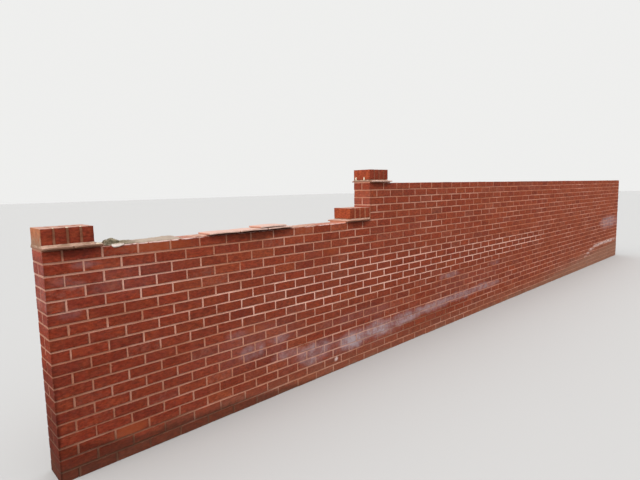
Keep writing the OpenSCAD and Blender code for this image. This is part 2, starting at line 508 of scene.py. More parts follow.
def spread_out(layer, rag, lump, mounds):
    """Turns a block of mortar into a spread layer: ragged outline, thin edges, lumps up to a height on top.

    Each of the mounds is its middle (x, y), its half length and half width, and its height above the layer.
    """
    ragged_rim, thin_rim, flat_rim = 0.030, 0.030, 0.020
    coarse_grain, fine_grain = 0.055, 0.017
    thinnest = 0.002
    points = read_points(layer)
    low, high = points.min(axis=0), points.max(axis=0)
    on_top = points[:, Z] > (low[Z] + high[Z]) / 2
    coarse = np.array([noise_vector(Vector((x, y, 0)) / coarse_grain) for x, y, z in points])
    fine = np.array([noise_vector(Vector((x, y, 1)) / fine_grain) for x, y, z in points])
    room = np.minimum(points - low, high - points)[:, :2]
    inward = np.sign((low + high) / 2 - points)[:, :2] * np.clip(1 - room / ragged_rim, 0, 1)
    points[:, :2] += inward * (rag * (0.5 + coarse[:, Z] + 0.4 * fine[:, Z]).clip(0, 1))[:, None]
    room = room.min(axis=1)
    thin = (high[Z] - low[Z]) * (0.25 + 0.75 * np.clip(room / thin_rim, 0, 1))
    rise = lump * (np.clip(coarse[:, X] * 2, 0, 1) + 0.5 * fine[:, X])
    for x, y, half_length, half_width, height in mounds:
        away = np.hypot((points[:, X] - x) / half_length, (points[:, Y] - y) / half_width)
        rise += height * np.clip(1.4 - 1.4 * away ** 2 + 0.6 * fine[:, Y], 0, 1)
    top = low[Z] + np.maximum(thin + rise * np.clip(room / flat_rim, 0, 1), thinnest)
    points[:, Z] = np.where(on_top, top, low[Z])
    write_points(layer, points)


def add_dab(name, middle, size):
    """Adds a small dab of mortar."""
    select_only()
    bpy.ops.mesh.primitive_ico_sphere_add(subdivisions=3, radius=0.5, location=middle)
    dab = bpy.context.object
    dab.scale = size
    dab.name = name
    bpy.ops.object.transform_apply(location=True, rotation=True, scale=True)
    return dab


def finish_piece(piece, surface, finish, slot, *nodes):
    """Shades a piece, gives it its material and its body, and hides the nodes it stands for. The slot is not
    used.
    """
    shade_smooth(piece, surface)
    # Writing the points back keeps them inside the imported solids' box.
    write_points(piece, read_points(piece))
    piece.data.materials.clear()
    piece.data.materials.append(finish)
    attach(piece, "root")
    if nodes:
        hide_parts(*nodes)
    return piece


# Shader nodes. A noise is given by its scale, detail and roughness.

def set_input(tree, node, key, value):
    """Sets an input of a node to a value, or feeds it from a socket."""
    if isinstance(value, bpy.types.NodeSocket):
        tree.links.new(value, node.inputs[key])
    else:
        node.inputs[key].default_value = value


def add_node(tree, kind, inputs=None, **settings):
    """Adds a node. Each input is a value, or the socket that feeds it."""
    node = tree.nodes.new(kind)
    for key, value in settings.items():
        setattr(node, key, value)
    for key, value in (inputs or {}).items():
        set_input(tree, node, key, value)
    return node


def calculate(tree, operation, a, b=0.0, c=0.0, clamp=False):
    """One sum of up to three values."""
    values = {0: a, 1: b, 2: c}
    return add_node(tree, "ShaderNodeMath", values, operation=operation, use_clamp=clamp).outputs[0]


def times(tree, a, b, clamp=False):
    """Two values multiplied."""
    return calculate(tree, "MULTIPLY", a, b, clamp=clamp)


def plus(tree, a, b, clamp=False):
    """Two values added."""
    return calculate(tree, "ADD", a, b, clamp=clamp)


def larger(tree, a, b):
    """The larger of two values."""
    return calculate(tree, "MAXIMUM", a, b)


def scale_add(tree, value, scale, start, clamp=False):
    """A value times its scale, and more by the start."""
    return calculate(tree, "MULTIPLY_ADD", value, scale, start, clamp=clamp)


def calculate_vector(tree, operation, a, b=(0.0, 0.0, 0.0), out=0):
    """One sum of two vectors."""
    return add_node(tree, "ShaderNodeVectorMath", {0: a, 1: b}, operation=operation).outputs[out]


def split(tree, vector):
    """The X, Y and Z of a vector."""
    return add_node(tree, "ShaderNodeSeparateXYZ", {0: vector}).outputs


def smooth_step(tree, value, low, high):
    """Rises smoothly from 0 at low to 1 at high, or falls where low is above high."""
    start, end = (low, high) if low < high else (high, low)
    to_low, to_high = (0.0, 1.0) if low < high else (1.0, 0.0)
    return add_node(
        tree, "ShaderNodeMapRange", {0: value, 1: start, 2: end, 3: to_low, 4: to_high},
        interpolation_type="SMOOTHSTEP").outputs[0]


def with_alpha(colour):
    """A colour with its alpha, or the socket that gives one."""
    return colour if isinstance(colour, bpy.types.NodeSocket) else (*colour, 1.0)


def mix_colour(tree, factor, a, b, blend="MIX"):
    """Puts the second colour over the first by a factor, or blends it with the first another way."""
    return add_node(
        tree, "ShaderNodeMix", {0: factor, 6: with_alpha(a), 7: with_alpha(b)},
        data_type="RGBA", blend_type=blend).outputs[2]


def darken(tree, colour, shade):
    """Multiplies a colour by a shade."""
    return mix_colour(tree, 1.0, colour, shade, blend="MULTIPLY")


def noise(tree, vector, scale, detail, roughness):
    """A cloudy pattern from 0 to 1."""
    settings = {"Vector": vector, "Scale": scale, "Detail": detail, "Roughness": roughness}
    return add_node(tree, "ShaderNodeTexNoise", settings).outputs[0]


def stretched(tree, vector, scale):
    """A place for a pattern that is finer along some axes."""
    return calculate_vector(tree, "MULTIPLY", vector, scale)


def new_group(name, inputs, outputs):
    """Makes a node group, and gives it with its inner input and output sockets."""
    group = bpy.data.node_groups.new(name, "ShaderNodeTree")
    for label, kind in inputs.items():
        group.interface.new_socket(label, in_out="INPUT", socket_type="NodeSocket" + kind)
    for label, kind in outputs.items():
        group.interface.new_socket(label, in_out="OUTPUT", socket_type="NodeSocket" + kind)
    return group, group.nodes.new("NodeGroupInput").outputs, group.nodes.new("NodeGroupOutput").inputs


def fill_group(tree, name, inputs):
    """Places a node group, and gives its outputs."""
    node = add_node(tree, "ShaderNodeGroup", node_tree=bpy.data.node_groups[name])
    for key, value in inputs.items():
        set_input(tree, node, key, value)
    return node.outputs


def patch_group():
    """A ragged patch on the wall's face, as an oval round a middle, seen along Y."""
    group, given, result = new_group(
        "Face Patch", {"Vector": "Vector", "Middle": "Vector", "Half Size": "Vector", "Strength": "Float"},
        {"Mask": "Float"})
    away = calculate_vector(group, "SUBTRACT", given["Vector"], given["Middle"])
    away = calculate_vector(group, "DIVIDE", away, given["Half Size"])
    ragged = noise(group, given["Vector"], 6.0, 6.0, 0.68)
    reach = calculate_vector(group, "LENGTH", away, out=1)
    reach = plus(group, reach, scale_add(group, ragged, -1.2, 0.6))
    mask = smooth_step(group, reach, 1.15, 0.35)
    group.links.new(times(group, mask, given["Strength"], clamp=True), result["Mask"])


def add_patches(group, vector, patches):
    """Puts several patches together, the strongest of them at each place."""
    through = 10
    total = 0.0
    for x, z, half_length, half_height, strength in patches:
        mask = fill_group(group, "Face Patch", {
            "Vector": vector, "Middle": (x, 0, z), "Half Size": (half_length, through, half_height),
            "Strength": strength})["Mask"]
        total = larger(group, mask, total)
    return total


def above_line(group, line, along, height, uneven):
    """How far a place is above a line, which is given by its heights at places along the wall."""
    curve = add_node(group, "ShaderNodeFloatCurve", {1: along})
    points = curve.mapping.curves[0].points
    for point, at in zip((points[0], points[1]), (line[0], line[-1])):
        point.location = at
    for at in line[1:-1]:
        points.new(*at)
    curve.mapping.update()
    return calculate(group, "SUBTRACT", height, plus(group, curve.outputs[0], uneven))


def lime_mask(group, place):
    """Lime, cloudy within its patches."""
    cloudy = smooth_step(group, noise(group, place, 13.0, 8.0, 0.76), 0.38, 0.60)
    return times(group, add_patches(group, place, LIME_BLOOMS), scale_add(group, cloudy, 0.66, 0.38))


def crust_mask(group, place, in_front):
    """Crusts of salts and mortar, broken up and on the front alone."""
    broken = smooth_step(group, noise(group, place, 24.0, 4.0, 0.6), 0.36, 0.55)
    return times(group, add_patches(group, place, PALE_CRUSTS), times(group, broken, in_front))


def pale_mask(group, place):
    """Joints that have dried pale: those of the table, and faint streaks all over."""
    streaky = stretched(group, place, (0.9, 0.9, 3.0))
    patchy = smooth_step(group, noise(group, streaky, 2.2, 3.0, 0.55), 0.38, 0.66)
    return scale_add(group, patchy, 0.35, add_patches(group, place, PALE_JOINTS), clamp=True)


def wash_mask(group, place, axes, along):
    """A thin wash of mortar over the bricks, from the near end on, with more of it at the far foot."""
    wash = times(group, smooth_step(group, along, 0.01, 0.14), 0.07)
    foot = scale_add(group, smooth_step(group, axes["Z"], 0.90, 0.20), 0.09, 0.005)
    foot = times(group, foot, smooth_step(group, along, 0.45, 0.95))
    thin = scale_add(group, noise(group, place, 3.5, 4.0, 0.6), 1.4, 0.3)
    return times(group, plus(group, wash, foot), thin)


def soil_mask(group, axes, along, uneven):
    """Soil where it stood against the foot, and a film of it above."""
    above = above_line(group, SOIL_LINE, along, axes["Z"], uneven)
    film = times(group, smooth_step(group, above, 0.20, 0.02), 0.40)
    return larger(group, film, smooth_step(group, above, 0.03, -0.03))


def floury(tree, place):
    """Flecks of fine dust."""
    return smooth_step(tree, noise(tree, place, 34.0, 5.0, 0.72), 0.36, 0.68)


def dust_mask(group, place, axes, along):
    """Dust on the far foot."""
    far_foot = times(group, smooth_step(group, along, 0.60, 0.80), smooth_step(group, axes["Z"], 0.36, 0.16))
    return times(group, times(group, far_foot, floury(group, place)), 0.27)


def wet_and_shade_mask(group, place, axes, along, uneven, in_front):
    """Painted shade and damp: the near end darker to its foot, the raised end a little darker, a dark foot
    band, and shadow under the tiles.
    """
    near, step = CAD_BOX[0][X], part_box("step_end_ties")[0][X]
    # The near end darker towards the bottom: partly painted shade from the ground, partly dirt.
    on_end = smooth_step(group, axes["X"], near + 0.030, near + 0.004)
    on_end = times(group, on_end, scale_add(group, smooth_step(group, axes["Z"], 0.95, 0.05), 0.84, 0.16))
    # The raised end a little darker above the low section.
    from_step = calculate(group, "ABSOLUTE", calculate(group, "SUBTRACT", axes["X"], step))
    on_step = times(group, smooth_step(group, from_step, 0.030, 0.004), 0.20)
    on_step = times(group, on_step, smooth_step(group, axes["Z"], 1.40, 1.42))
    # A dark band along the near foot: painted contact shadow and damp.
    above = above_line(group, DARK_FOOT_LINE, along, axes["Z"], times(group, uneven, 0.5))
    dark_foot = times(group, smooth_step(group, above, 0.025, -0.025), 0.66)
    # Painted shadow on the bricks under the tiles, joined with the dark band along the foot.
    shadowed = larger(group, add_patches(group, place, SHADED_BRICKS), dark_foot)
    return larger(group, larger(group, on_end, on_step), times(group, shadowed, in_front))


def weathering_group():
    """All that has settled on the wall, and painted shade, each a mask over its faces, and the place along it
    from 0 to 1.
    """
    outputs = ("Lime", "Crust", "Pale", "Grime", "Bright", "Wash", "Soil", "Dust", "Damp", "Along")
    group, given, result = new_group("Wall Weathering", {"Vector": "Vector"}, dict.fromkeys(outputs, "Float"))
    place = given["Vector"]
    axes = split(group, place)
    low, high = CAD_BOX[0][X], CAD_BOX[1][X]
    along = add_node(group, "ShaderNodeMapRange", {0: axes["X"], 1: low, 2: high}).outputs[0]
    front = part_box("low_front_leaf")[0][Y]
    in_front = smooth_step(group, axes["Y"], front + 0.022, front + 0.010)
    uneven = scale_add(group, noise(group, place, 6.0, 4.0, 0.6), 0.12, -0.06)
    masks = {
        "Lime": lime_mask(group, place),
        "Crust": crust_mask(group, place, in_front),
        "Pale": pale_mask(group, place),
        "Grime": add_patches(group, place, DIRTY_AND_SHADED_JOINTS),
        "Bright": add_patches(group, place, BRIGHT_BRICKS),
        "Wash": wash_mask(group, place, axes, along),
        "Soil": soil_mask(group, axes, along, uneven),
        "Dust": dust_mask(group, place, axes, along),
        "Damp": wet_and_shade_mask(group, place, axes, along, uneven, in_front),
        "Along": along,
    }
    for name, mask in masks.items():
        group.links.new(mask, result[name])


def edge_group():
    """Distance on a brick's face to its nearest edge, from the place on the brick and half its size."""
    group, given, result = new_group(
        "Brick Edge", {"Place": "Vector", "Half Size": "Vector"}, {"Distance": "Float"})
    away = calculate_vector(group, "ABSOLUTE", given["Place"])
    x, y, z = split(group, calculate_vector(group, "SUBTRACT", given["Half Size"], away))
    # The least of the three is the room to the face itself, so the middle one is that to its nearest edge.
    lower, higher = calculate(group, "MINIMUM", x, y), larger(group, x, y)
    group.links.new(larger(group, lower, calculate(group, "MINIMUM", higher, z)), result["Distance"])


def clay_group():
    """Fired clay: its colour by brick and within a brick, its roughness and its relief."""
    group, given, result = new_group(
        "Fired Clay", {
            "Vector": "Vector", "Dice": "Vector", "Edge": "Float",
            "Red": "Color", "Dark": "Color", "Orange": "Color"},
        {"Color": "Color", "Roughness": "Float", "Height": "Float"})
    dice = split(group, given["Dice"])
    own = add_node(
        group, "ShaderNodeVectorMath", {0: given["Dice"], 1: (7.0, 5.0, 9.0), 2: given["Vector"]},
        operation="MULTIPLY_ADD").outputs[0]
    # Hard and soft fired bricks, then streaks of both within a brick.
    dark = times(group, smooth_step(group, dice["X"], 0.30, 0.0), 0.50)
    colour = mix_colour(group, dark, given["Red"], given["Dark"])
    orange = times(group, smooth_step(group, dice["X"], 0.84, 1.0), 0.50)
    colour = mix_colour(group, orange, colour, given["Orange"])
    flash = noise(group, stretched(group, own, (8.0, 8.0, 16.0)), 1.0, 3.0, 0.6)
    flash = times(group, smooth_step(group, flash, 0.40, 0.72), 0.35)
    colour = mix_colour(group, flash, colour, given["Orange"])
    shade = noise(group, stretched(group, own, (14.0, 14.0, 22.0)), 1.0, 4.0, 0.65)
    shade = times(group, smooth_step(group, shade, 0.42, 0.72), 0.50)
    colour = mix_colour(group, shade, colour, given["Dark"])
    # Lighter and darker bricks, specks, mottling, pale arrises, and the rim beside them darkened as painted
    # shade.
    value = scale_add(group, dice["Y"], 0.20, 0.92)
    speck = noise(group, given["Vector"], 420.0, 3.0, 0.7)
    value = times(group, value, scale_add(group, speck, 0.70, 0.65))
    mottle = noise(group, stretched(group, own, (34.0, 34.0, 78.0)), 1.0, 4.0, 0.72)
    value = times(group, value, scale_add(group, mottle, 2.20, -0.10))
    worn = smooth_step(group, given["Edge"], 0.0035, 0.0005)
    value = times(group, value, scale_add(group, worn, 0.14, 1.0))
    # Painted shade: a darker rim a few millimetres in from each edge, as beside the joints.
    edge_shade = smooth_step(group, given["Edge"], 0.011, 0.003)
    value = times(group, value, scale_add(group, edge_shade, -0.17, 1.0))
    group.links.new(darken(group, colour, value), result["Color"])
    # Drag marks along the brick, specks and pits.
    drag = noise(group, stretched(group, own, (22.0, 22.0, 260.0)), 1.0, 2.0, 0.5)
    pit = smooth_step(group, noise(group, given["Vector"], 150.0, 2.0, 0.5), 0.30, 0.42)
    relief = plus(group, times(group, drag, 0.5), times(group, speck, 0.5))
    group.links.new(plus(group, relief, times(group, pit, 0.8)), result["Height"])
    group.links.new(scale_add(group, speck, 0.2, 0.75), result["Roughness"])


def grain_group():
    """Sand in mortar or in a tile: a shade round one, and its relief."""
    group, given, result = new_group(
        "Sand Grain", {"Vector": "Vector", "Contrast": "Float"}, {"Shade": "Float", "Height": "Float"})
    fine = noise(group, given["Vector"], 600.0, 3.0, 0.75)
    coarse = noise(group, given["Vector"], 60.0, 4.0, 0.6)
    both = scale_add(group, coarse, 0.5, times(group, fine, 0.5))
    shade = scale_add(group, calculate(group, "SUBTRACT", both, 0.5), given["Contrast"], 1.0)
    group.links.new(shade, result["Shade"])
    group.links.new(both, result["Height"])


def new_finish(name):
    """Starts a material, and gives its tree, its shader and its object coordinates."""
    finish = bpy.data.materials.new(name)
    finish.use_nodes = True
    tree = finish.node_tree
    shader = tree.nodes["Principled BSDF"]
    place = add_node(tree, "ShaderNodeTexCoord").outputs["Object"]
    return finish, tree, shader, place


def connect(tree, shader, colour, roughness, height, depth):
    """Feeds the shader, with the height as a bump of the given depth in metres."""
    set_input(tree, shader, "Base Color", colour)
    set_input(tree, shader, "Roughness", roughness)
    bump = add_node(tree, "ShaderNodeBump", {"Height": height, "Strength": 1.0, "Distance": depth})
    set_input(tree, shader, "Normal", bump.outputs[0])
    set_input(tree, shader, "Specular IOR Level", 0.12)


def shared_groups():
    """Builds the node groups that the materials share."""
    patch_group()
    weathering_group()
    edge_group()
    clay_group()
    grain_group()


def read_attribute(tree, name):
    """A vector that a piece's vertices keep."""
    return add_node(tree, "ShaderNodeAttribute", attribute_name=name).outputs["Vector"]


def facing(tree, axis, low=0.5, high=0.8, way=1.0):
    """A mask of the faces that look up, down where way is -1, or along another axis either way."""
    normal = add_node(tree, "ShaderNodeNewGeometry").outputs["True Normal"]
    part = split(tree, normal)[axis]
    part = times(tree, part, way) if axis == Z else calculate(tree, "ABSOLUTE", part)
    return smooth_step(tree, part, low, high)


def weather(tree, marks, colour, colours, lime_share, soil_share):
    """Lays lime, soil, dust and crusts over a colour, and darkens it by the mask of painted shade and damp.
    """
    colour = mix_colour(tree, times(tree, marks["Lime"], lime_share), colour, colours.lime)
    colour = mix_colour(tree, times(tree, marks["Soil"], soil_share), colour, colours.soil)
    colour = mix_colour(tree, marks["Dust"], colour, colours.dust)
    # Painted shade and damp: darker under the tiles, along the near foot and down the near end.
    colour = darken(tree, colour, scale_add(tree, marks["Damp"], -0.66, 1.0))
    return mix_colour(tree, times(tree, marks["Crust"], 0.85), colour, colours.salts)


def brick_clay(tree, place, colours, red):
    """Fired clay on bricks that keep their dice and sizes. Gives it, the distance to an edge and the dice."""
    dice = read_attribute(tree, "brick_dice")
    size = {"Place": read_attribute(tree, "brick_place"), "Half Size": read_attribute(tree, "brick_half")}
    edge = fill_group(tree, "Brick Edge", size)["Distance"]
    clay = fill_group(tree, "Fired Clay", {
        "Vector": place, "Dice": dice, "Edge": edge, "Red": red,
        "Dark": with_alpha(colours.brick_dark), "Orange": with_alpha(colours.brick_orange)})
    return clay, edge, dice


def face_brick_finish(colours):
    """Brick of the leaves: clay by brick, mortar smudged at its edges, all that has settled on it, and
    painted shade.
    """
    finish, tree, shader, place = new_finish("face_brick")
    marks = fill_group(tree, "Wall Weathering", {"Vector": place})
    red = mix_colour(tree, times(tree, marks["Along"], 0.55), colours.brick_red, colours.brick_orange)
    clay, edge, dice = brick_clay(tree, place, colours, red)
    share = split(tree, dice)["Z"]
    # Mortar smudged along the edges, and washed over the face.
    ragged = smooth_step(tree, noise(tree, place, 38.0, 4.0, 0.65), 0.50, 0.75)
    reach = scale_add(tree, ragged, 0.011, -0.001)
    smudge = smooth_step(tree, calculate(tree, "SUBTRACT", edge, reach), 0.003, -0.001)
    smudge = times(tree, smudge, 0.45)
    colour = mix_colour(tree, smudge, clay["Color"], colours.mortar)
    colour = mix_colour(tree, times(tree, marks["Wash"], plus(tree, share, 0.5)), colour, colours.mortar)
    # Brighter bricks of the table, and all bricks a little brighter higher up.
    colour = mix_colour(tree, times(tree, marks["Bright"], 0.80), colour, colours.brick_orange)
    high = smooth_step(tree, split(tree, place)["Z"], 0.75, 1.25)
    colour = darken(tree, colour, scale_add(tree, high, 0.09, 0.94))
    # Dust, most of it on top and on a few hazy bricks.
    dusty = floury(tree, place)
    haze = times(tree, scale_add(tree, smooth_step(tree, share, 0.82, 1.0), 0.09, 0.035), dusty)
    on_top = times(tree, facing(tree, Z, 0.80, 0.95), scale_add(tree, dusty, 0.35, 0.28))
    colour = mix_colour(tree, larger(tree, haze, on_top), colour, colours.dust)
    lime_share = scale_add(tree, share, 0.40, 0.65)
    colour = weather(tree, marks, colour, colours, lime_share, soil_share=0.58)
    connect(tree, shader, colour, clay["Roughness"], scale_add(tree, smudge, 0.6, clay["Height"]), 0.0012)
    return finish


def joint_finish(colours, sizes):
    """Mortar of the leaves: sandy, redder along the wall, with all that has settled on it, and painted shade.
    """
    finish, tree, shader, place = new_finish("joint_mortar")
    grain = fill_group(tree, "Sand Grain", {"Vector": place, "Contrast": 0.9})
    marks = fill_group(tree, "Wall Weathering", {"Vector": place})
    redder = smooth_step(tree, marks["Along"], 0.20, 0.55)
    colour = mix_colour(tree, redder, colours.mortar, colours.red_mortar)
    colour = mix_colour(tree, marks["Pale"], colour, colours.pale_mortar)
    # Dirt on the joints, and painted shadow on the joint under the near tile.
    colour = mix_colour(tree, marks["Grime"], colour, colours.dirt_and_shade)
    # Beds are darker than end joints by the near end, less so past the first metre, and paler beyond half.
    course = sizes.brick_height + sizes.joint
    to_bed = calculate(tree, "PINGPONG", plus(tree, split(tree, place)["Z"], sizes.joint / 2), course / 2)
    further = smooth_step(tree, marks["Along"], 0.02, 0.11)
    far = smooth_step(tree, marks["Along"], 0.38, 0.60)
    on_bed = scale_add(tree, far, 0.28, scale_add(tree, further, 0.16, -0.20))
    gain = times(tree, on_bed, smooth_step(tree, to_bed, 0.0075, 0.0055))
    gain = plus(tree, gain, scale_add(tree, further, 0.06, 1.12))
    gain = scale_add(tree, far, -0.12, gain)
    colour = darken(tree, colour, times(tree, grain["Shade"], gain))
    colour = weather(tree, marks, colour, colours, lime_share=0.40, soil_share=0.50)
    connect(tree, shader, colour, 0.92, grain["Height"], 0.0016)
    return finish


def coping_brick_finish(name, colours, brick_colour, near, bed_top):
    """Brick of the coping: new, dusty on top, and smeared with mortar low on the wall's near end."""
    yellow = (0.600, 0.330, 0.170)
    finish, tree, shader, place = new_finish(name)
    # The end faces turn more orange: partly the bricks' own bed faces, partly painted light from the left.
    red = mix_colour(tree, times(tree, facing(tree, X), 0.55), brick_colour, colours.brick_orange)
    clay, _, _ = brick_clay(tree, place, colours, red)
    patchy = smooth_step(tree, noise(tree, place, 30.0, 4.0, 0.6), 0.25, 0.70)
    dusty = times(tree, facing(tree, Z), scale_add(tree, patchy, 0.25, 0.48))
    colour = mix_colour(tree, dusty, clay["Color"], colours.dust)
    # A yellow film over the near end, and mortar that ran down it, fresh and dried.
    axes = split(tree, place)
    on_end = smooth_step(tree, axes["X"], near + 0.006, near + 0.003)
    film = times(tree, on_end, scale_add(tree, patchy, 0.30, 0.20))
    colour = mix_colour(tree, film, colour, yellow)
    low = smooth_step(tree, axes["Z"], bed_top + 0.105, bed_top)
    streak = noise(tree, stretched(tree, place, (1.0, 55.0, 20.0)), 1.0, 5.0, 0.72)
    smear = times(tree, on_end, smooth_step(tree, scale_add(tree, low, 0.30, streak), 0.56, 0.84))
    drip = noise(tree, stretched(tree, place, (1.0, 75.0, 12.0)), 1.0, 3.0, 0.6)
    drip = times(tree, smooth_step(tree, drip, 0.46, 0.62), 0.60)
    smeared = mix_colour(tree, drip, colours.fresh_mortar, colours.dried_mortar)
    colour = mix_colour(tree, times(tree, smear, 0.75), colour, smeared)
    connect(tree, shader, colour, clay["Roughness"], scale_add(tree, smear, 1.5, clay["Height"]), 0.0012)
    return finish


def mortar_finish(name, colours, far_colour=None, side_colour=None):
    """Mortar blotched between two colours. It may have dried further along, and may have painted shadow on
    its sides.
    """
    finish, tree, shader, place = new_finish(name)
    grain = fill_group(tree, "Sand Grain", {"Vector": place, "Contrast": 0.9})
    blotch = smooth_step(tree, noise(tree, place, 22.0, 4.0, 0.6), 0.40, 0.62)
    colour = mix_colour(tree, blotch, *colours)
    if far_colour:
        ragged = scale_add(tree, noise(tree, place, 26.0, 4.0, 0.6), 0.12, split(tree, place)["X"])
        dried = times(tree, smooth_step(tree, ragged, *DRIED_FROM), 0.80)
        colour = mix_colour(tree, dried, colour, far_colour)
    if side_colour:
        # Painted shadow on the sides.
        colour = mix_colour(tree, facing(tree, Y), colour, side_colour)
    connect(tree, shader, darken(tree, colour, grain["Shade"]), 0.85, grain["Height"], 0.0018)
    return finish


def tile_finish(name, clay_colour, top_colour, side_colour, side_share, end_colour=None):
    """Clay of a creasing tile, chalky with dust on top and at its sides, pale sides also painted highlight.
    Its ends may be stained, its underside painted shadow.
    """
    shadowed = (0.200, 0.045, 0.022)
    finish, tree, shader, place = new_finish(name)
    grain = fill_group(tree, "Sand Grain", {"Vector": place, "Contrast": 0.6})
    patchy = smooth_step(tree, noise(tree, place, 18.0, 5.0, 0.65), 0.25, 0.65)
    on_top = facing(tree, Z)
    dust = mix_colour(tree, on_top, side_colour, top_colour)
    share = scale_add(tree, on_top, 0.95 - side_share, side_share)
    dusty = times(tree, scale_add(tree, patchy, 0.50, 0.50), share)
    colour = mix_colour(tree, dusty, clay_colour, dust)
    if end_colour:
        colour = mix_colour(tree, times(tree, facing(tree, X, 0.2, 0.5), 0.80), colour, end_colour)
    # Painted shadow: the underside is painted dark red.
    underneath = facing(tree, Z, 0.7, 0.95, -1.0)
    colour = mix_colour(tree, underneath, colour, shadowed)
    connect(tree, shader, darken(tree, colour, grain["Shade"]), 0.88, grain["Height"], 0.0008)
    return finish


# Pieces of the wall.

class GARDENWALL_OT_lay_stretchers(Operator):
    """Lay the stretchers of both leaves in both sections, in stretcher bond"""

    bl_idname = "garden_wall.lay_stretchers"
    bl_label = "Lay stretchers"

    def execute(self, context):
        sizes = context.scene.wall_brickwork
        wall = wall_places(sizes)
        finish = face_brick_finish(context.scene.wall_finish)
        sections = {
            "low": (wall.near, wall.low_columns, wall.low_columns, wall.low_courses),
            "high": (wall.step, wall.high_columns - 1, wall.high_columns, wall.high_courses),
        }
        for number, (leaf, (inner, outer)) in enumerate(wall.leaves.items()):
            for section, (start, header_columns, plain_columns, courses) in sections.items():
                name = f"{section}_{leaf}_bricks"
                rows = []
                for odd, columns in ((0, header_columns), (1, plain_columns)):
                    low = Vector((start + (0 if odd else wall.half_module), inner, odd * wall.course))
                    high = (low.x + sizes.brick_length, outer, low.z + sizes.brick_height)
                    brick = mould_brick(name, low, high, sizes.arris)
                    corners = len(brick.data.vertices)
                    repeat(brick, columns, (wall.module, 0, 0))
                    repeat(brick, (courses + 1 - odd) // 2, (0, 0, 2 * wall.course))
                    rows.append(brick)
                bricks = join(name, rows)
                roughen(bricks, "brick")
                settle_bricks(bricks, corners, sizes, number * 10 + courses)
                finish_piece(bricks, "brick", finish, "brick", f"{section}_{leaf}_leaf")
        return {"FINISHED"}


class GARDENWALL_OT_lay_ties(Operator):
    """Lay the bricks that run across the wall at its stopped ends and at the step"""

    bl_idname = "garden_wall.lay_ties"
    bl_label = "Lay tie bricks"

    def execute(self, context):
        sizes = context.scene.wall_brickwork
        wall = wall_places(sizes)
        finish = bpy.data.materials["face_brick"]
        for number, node in enumerate(("near_end_ties", "step_end_ties", "far_end_ties")):
            low, high = corners_of(node)
            top = (high.x, high.y, low.z + sizes.brick_height)
            brick = mould_brick(node, low, top, sizes.arris, cuts=(1, 4, 0))
            corners = len(brick.data.vertices)
            repeat(brick, round((high.z - low.z + wall.course) / (2 * wall.course)), (0, 0, 2 * wall.course))
            bricks = join(node + "_bricks", [brick])
            roughen(bricks, "brick")
            settle_bricks(bricks, corners, sizes, 40 + number)
            finish_piece(bricks, "brick", finish, "brick", node)
        return {"FINISHED"}


class GARDENWALL_OT_point_joints(Operator):
    """Fill the bed joints and end joints of both leaves with hollow-struck mortar"""

    bl_idname = "garden_wall.point_joints"
    bl_label = "Point joints"

    def execute(self, context):
        sizes = context.scene.wall_brickwork
        wall = wall_places(sizes)
        finish = joint_finish(context.scene.wall_finish, sizes)
        for leaf, (inner, outer) in wall.leaves.items():
            face = -1 if leaf == "front" else 1
            low_y = inner + sizes.joint_lip if face < 0 else inner
            high_y = outer if face < 0 else outer - sizes.joint_lip
            for section in ("low", "high"):
                name = f"{section}_{leaf}_pointing"
                bars = self.bed_joints(name, section, sizes, wall, low_y, high_y, face)
                bars += self.end_joints(name, section, sizes, wall, low_y, high_y, face)
                pointing = join(name, bars)
                roughen(pointing, "pointing", "VORONOI_F1")
                finish_piece(pointing, "pointing", finish, "mortar")
        return {"FINISHED"}

    def bed_joints(self, name, section, sizes, wall, low_y, high_y, face):
        """One bar for each bed, from end to end of the section. Beds above the step start behind its end."""
        lap, cut_length = 0.0015, 0.045
        near, far = wall.near + sizes.end_recess, wall.far - sizes.end_recess
        step, raised = wall.step, wall.step + sizes.end_recess
        beds = {
            "low": ((near, step, 0, wall.low_courses - 1),),
            "high": (
                (step, far, 0, wall.low_courses - 1),
                (raised, far, wall.low_courses - 1, wall.high_courses - 1)),
        }
        bars = []
        for start, end, first, last in beds[section]:
            z = first * wall.course + sizes.brick_height
            bar = mortar_bar(
                name, (start, low_y, z - lap), (end, high_y, z + sizes.joint + lap), sizes.joint_hollow,
                X, face, Z, round((end - start) / cut_length) - 1)
            repeat(bar, last - first, (0, 0, wall.course))
            bars.append(bar)
        return bars

    def end_joints(self, name, section, sizes, wall, low_y, high_y, face):
        """One upright bar beside each stretcher."""
        lap = 0.0012
        start, columns, courses = {
            "low": (wall.near, wall.low_columns, wall.low_courses),
            "high": (wall.step, wall.high_columns, wall.high_courses),
        }[section]
        plain_columns = columns if section == "low" else columns - 1
        rows = ((0, start + sizes.brick_width, columns), (1, start + sizes.brick_length, plain_columns))
        bars = []
        for odd, x, count in rows:
            z = odd * wall.course
            bar = mortar_bar(
                name, (x - lap, low_y, z), (x + sizes.joint + lap, high_y, z + sizes.brick_height),
                sizes.joint_hollow, Z, face, X, 1)
            repeat(bar, count, (wall.module, 0, 0))
            repeat(bar, (courses + 1 - odd) // 2, (0, 0, 2 * wall.course))
            bars.append(bar)
        return bars


